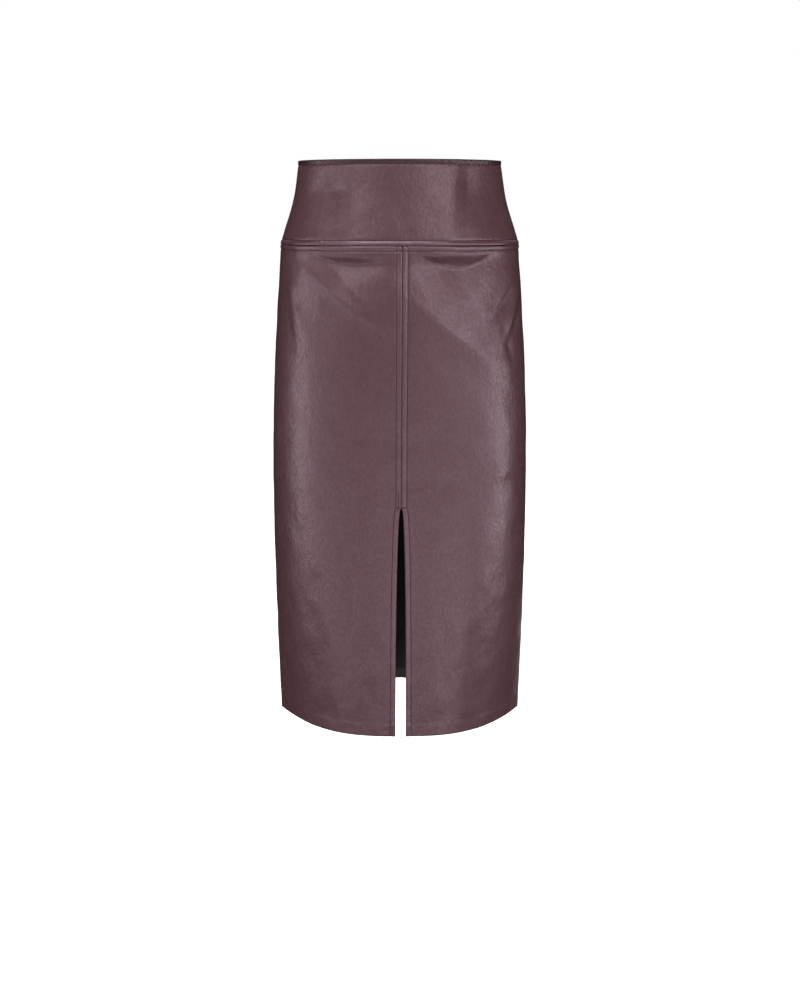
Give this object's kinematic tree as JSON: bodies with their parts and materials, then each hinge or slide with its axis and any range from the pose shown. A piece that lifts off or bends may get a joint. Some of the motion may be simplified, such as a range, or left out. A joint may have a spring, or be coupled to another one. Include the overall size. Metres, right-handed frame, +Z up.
{
  "type": "leather skirt",
  "caption": "High-waisted leather pencil skirt with a deep shaped yoke, centre-front seam and slit, black lining and a concealed back zip, standing open as worn.",
  "frame": {"origin": "middle of the waist opening, level with the top edge, where the wearer's waist holds the skirt", "axes": "+Z up out of the waist opening, the front with the slit faces -Y, the wearer's left is +X"},
  "size_m": [0.3446, 0.2474, 0.75],
  "materials": {
    "leather": "smooth fine-grained oxblood leather with a soft gloss",
    "lining": "plain black woven lining with a slight sheen",
    "zip_tape": "knitted zip tape",
    "zip_metal": "lacquered to match the leather"
  },
  "bodies": {
    "skirt": {"yoke_front": "leather", "yoke_back_left": "leather", "yoke_back_right": "leather", "front_left": "leather", "front_right": "leather", "back_left": "leather", "back_right": "leather", "hem_front_left": "leather", "hem_front_right": "leather", "hem_back_left": "leather", "hem_back_right": "leather", "slit_facing_left": "leather", "slit_facing_right": "leather", "lining_front_left": "lining", "lining_front_right": "lining", "lining_back_left": "lining", "lining_back_right": "lining", "zip_tape_left": "zip_tape", "zip_tape_right": "zip_tape", "zip_slider": "zip_metal"},
    "pull": {"zip_pull": "zip_metal"}
  },
  "joints": [
    {"name": "pull_swing", "type": "hinge", "parent": "skirt", "child": "pull", "pos_m": [0, 0.09335, -0.011], "axis": [1, 0, 0], "range_deg": [0, 160]}
  ]
}
